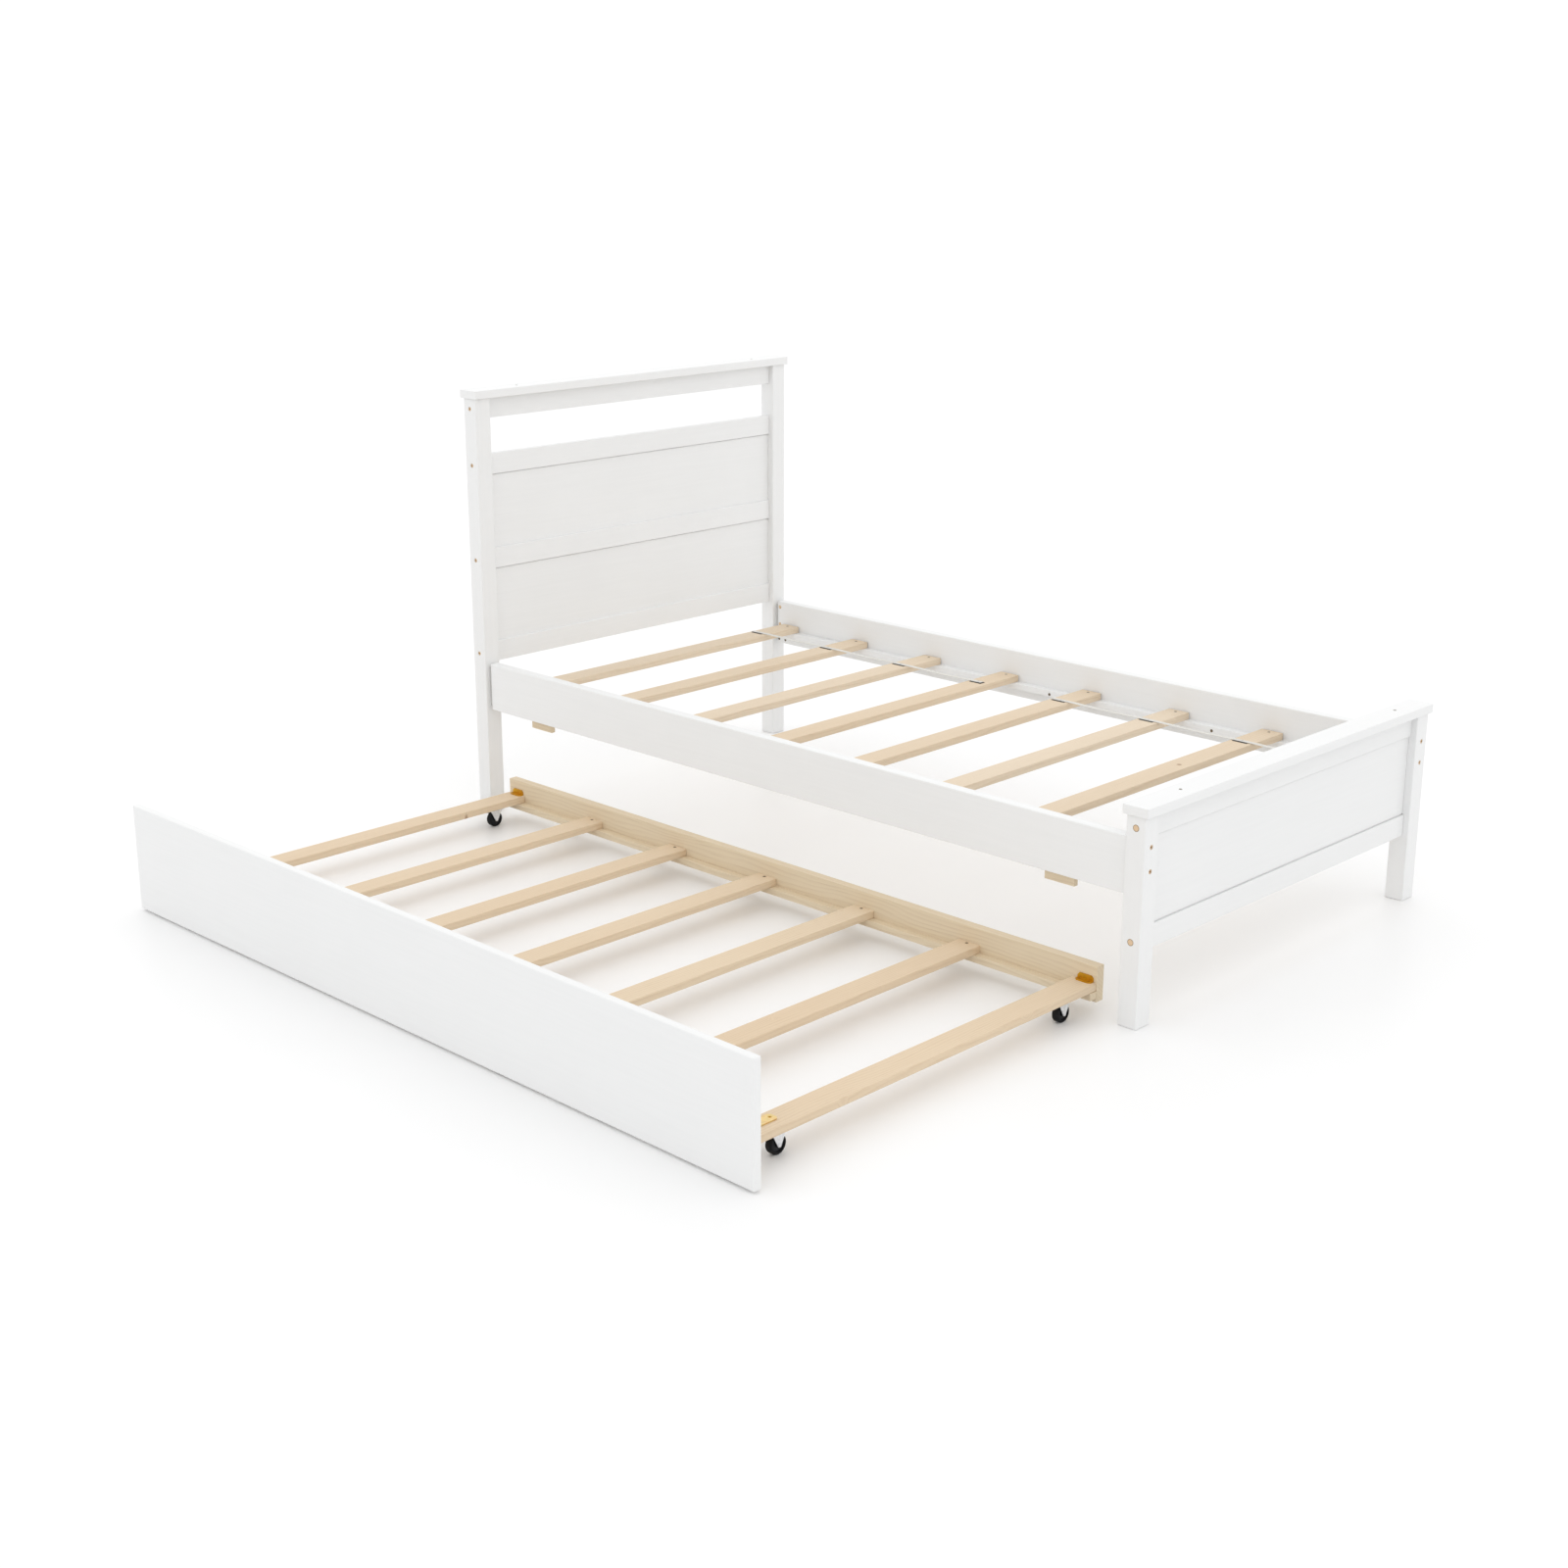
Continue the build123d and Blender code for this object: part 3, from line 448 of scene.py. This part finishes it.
def band(name, sections, thick, material):
    """A thin band with softened long edges: sections are (x, low y, high y, underside z) along it."""
    lip = thick * 0.3
    verts = []
    for x, low_y, high_y, z in sections:
        top = z + thick
        verts += [(x, low_y, z + lip), (x, low_y + lip, z), (x, high_y - lip, z), (x, high_y, z + lip),
                  (x, high_y, top - lip), (x, high_y - lip, top), (x, low_y + lip, top), (x, low_y, top - lip)]
    corners = len(verts) // len(sections)
    last = len(verts) - corners
    faces = [tuple(range(corners)), tuple(reversed(range(last, len(verts))))]
    for start in range(0, last, corners):
        for side in range(corners):
            after = (side + 1) % corners
            faces.append((start + side, start + side + corners, start + after + corners, start + after))
    mesh = bpy.data.meshes.new(name)
    mesh.from_pydata(verts, [], faces)
    return placed(name, mesh, material)


def strap_sections(slats, low_y, high_y):
    """Flat over each slat's painted-shadow sheet, with a shallow dip over the gap to the next slat."""
    sections = [(slats[0][0].x + STRAP_START, low_y, high_y, STRAP_BASE)]
    for (low, high), following in zip(slats, slats[1:]):
        flat_end = high.x - FLAT_BEFORE_EDGE
        span = following[0].x - flat_end - FLAT_AFTER_EDGE
        for step in range(SPAN_STEPS + 1):
            part = step / SPAN_STEPS
            dip = STRAP_DIP * math.sin(math.pi * part) ** 2
            sway = STRAP_SWAY * math.sin(2 * math.pi * part)
            sections.append((flat_end + span * part, low_y + sway, high_y + sway, STRAP_BASE - dip))
    last = slats[-1][0].x
    sections.append((last, low_y, high_y, STRAP_BASE))
    sections.append((last + STRAP_ON_LAST, low_y, high_y, STRAP_BASE))
    return sections


def shadow_pad_sections(slat_left, number, length, low_y, high_y):
    """A thin charcoal sheet of painted strap shadow, with slightly uneven long edges."""
    sections = []
    for step in range(SHADOW_PAD_STEPS + 1):
        fray = SHADOW_PAD_FRAY * math.sin(step * 2.3 + number * 1.7)
        x = slat_left + SHADOW_PAD_START + length * step / SHADOW_PAD_STEPS
        sections.append((x, low_y + fray, high_y - fray, SLAT_TOP + SHADOW_PAD_LIFT))
    return sections


def staple(name, x, y, material):
    """A staple across a strap: a crown of round-cornered wire with its legs in the slat."""
    curve = bpy.data.curves.new(name, "CURVE")
    curve.dimensions = "3D"
    curve.bevel_depth = STAPLE_WIRE
    curve.bevel_resolution = 3
    leg = [(STAPLE_HALF, STAPLE_TIP), (STAPLE_HALF, SLAT_TOP),
           (STAPLE_HALF, STAPLE_TOP), (STAPLE_CORNER, STAPLE_TOP)]
    points = [(-across, z) for across, z in leg] + [(0.0, STAPLE_TOP)] + leg[::-1]
    spline = curve.splines.new("NURBS")
    spline.points.add(len(points) - 1)
    for point, (across, z) in zip(spline.points, points):
        point.co = (x, y + across, z, 1.0)
    spline.order_u = 3
    spline.use_endpoint_u = True
    return placed(name, curve, material)


webbing_finish = webbing()
strap_shadow_material = strap_shadow_finish()
staple_finish = plated("staple_wire", (0.60, 0.60, 0.60), (0.40, 0.40, 0.40), 0.25, 500.0)
soft_pieces = []
for side, inward, low_y, high_y in STRAP_SIDES:
    shadow_pad_low = low_y if inward > 0 else low_y - SHADOW_PAD_MARGIN
    shadow_pad_high = high_y + SHADOW_PAD_MARGIN if inward > 0 else high_y
    for half, first in (("head", 0), ("foot", SLATS_PER_STRAP)):
        run = SLATS[first:first + SLATS_PER_STRAP]
        strap = band(f"strap_{side}_{half}", strap_sections(run, low_y, high_y), STRAP_THICK, webbing_finish)
        shadow_pads = []
        for number, (low, high) in enumerate(run, first + 1):
            at_end = number == first + SLATS_PER_STRAP
            length = STRAP_ON_LAST + SHADOW_PAD_MARGIN - SHADOW_PAD_START if at_end else SHADOW_PAD_LENGTH
            sections = shadow_pad_sections(low.x, number, length, shadow_pad_low, shadow_pad_high)
            # a charcoal sheet of painted shadow where the strap's shadow falls on the slat
            shadow_pad = band(f"strap_shadow_pad_{side}_{number}", sections, SHADOW_PAD_THICK, strap_shadow_material)
            shadow_pads.append(shadow_pad)
            staple(f"staple_{side}_{number}", low.x + STAPLE_X, (low_y + high_y) / 2, staple_finish)
        length = run[-1][0].x + STRAP_ON_LAST - run[0][0].x - STRAP_START
        soft_pieces += [strap, *shadow_pads]
for piece in soft_pieces:
    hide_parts("slat_straps")


# ---- Floor, light and camera ----
# A plain pale floor under an even white dome, with one broad soft light overhead.

FLOOR_HALF = 40.0
DOME_STRENGTH = 1.12
SOFTBOX_SIZE = 5.0
SOFTBOX_HEIGHT = 4.0
SOFTBOX_WATTS = 8.0
VIEW_AZIMUTH = math.radians(134.41)
VIEW_PITCH = math.radians(17.04)
VIEW_FROM = (3.2823, -3.3479, 1.7145)


def floor_finish():
    """Pale floor with a trace of unevenness."""
    material, place = new_finish("studio_floor")
    dust = noise(place, 1.5, 2.0)
    return finish_with(material, dust.mixed((0.90, 0.90, 0.90), (0.92, 0.92, 0.92)), 0.35 + dust * 0.05)


floor_mesh = bpy.data.meshes.new("studio_floor")
floor_mesh.from_pydata([(-FLOOR_HALF, -FLOOR_HALF, 0), (FLOOR_HALF, -FLOOR_HALF, 0),
                        (FLOOR_HALF, FLOOR_HALF, 0), (-FLOOR_HALF, FLOOR_HALF, 0)], [], [(0, 1, 2, 3)])
floor_mesh.materials.append(floor_finish())
floor = bpy.data.objects.new("studio_floor", floor_mesh)
bpy.context.scene.collection.objects.link(floor)

world = bpy.data.worlds.new("studio_dome")
world.use_nodes = True
world.node_tree.nodes["Background"].inputs["Color"].default_value = (1.0, 1.0, 1.0, 1.0)
world.node_tree.nodes["Background"].inputs["Strength"].default_value = DOME_STRENGTH
bpy.context.scene.world = world

lamp = bpy.data.lights.new("overhead_softbox", "AREA")
lamp.shape = "RECTANGLE"
lamp.size = SOFTBOX_SIZE
lamp.size_y = SOFTBOX_SIZE
lamp.energy = SOFTBOX_WATTS
softbox = bpy.data.objects.new("overhead_softbox", lamp)
softbox.location = (0.0, 0.0, SOFTBOX_HEIGHT)
bpy.context.scene.collection.objects.link(softbox)

camera_data = bpy.data.cameras.new("camera")
camera_data.sensor_width = 36.0
camera_data.lens = 50.70
camera_data.shift_x = 0.0053
camera_data.shift_y = -0.0009
camera_data.clip_end = 200.0
camera = bpy.data.objects.new("camera", camera_data)
camera.location = VIEW_FROM
look = Vector((math.cos(VIEW_AZIMUTH) * math.cos(VIEW_PITCH),
               math.sin(VIEW_AZIMUTH) * math.cos(VIEW_PITCH), -math.sin(VIEW_PITCH)))
camera.rotation_euler = look.to_track_quat("-Z", "Y").to_euler()
bpy.context.scene.collection.objects.link(camera)
bpy.context.scene.camera = camera
bpy.context.scene.view_settings.view_transform = "Standard"
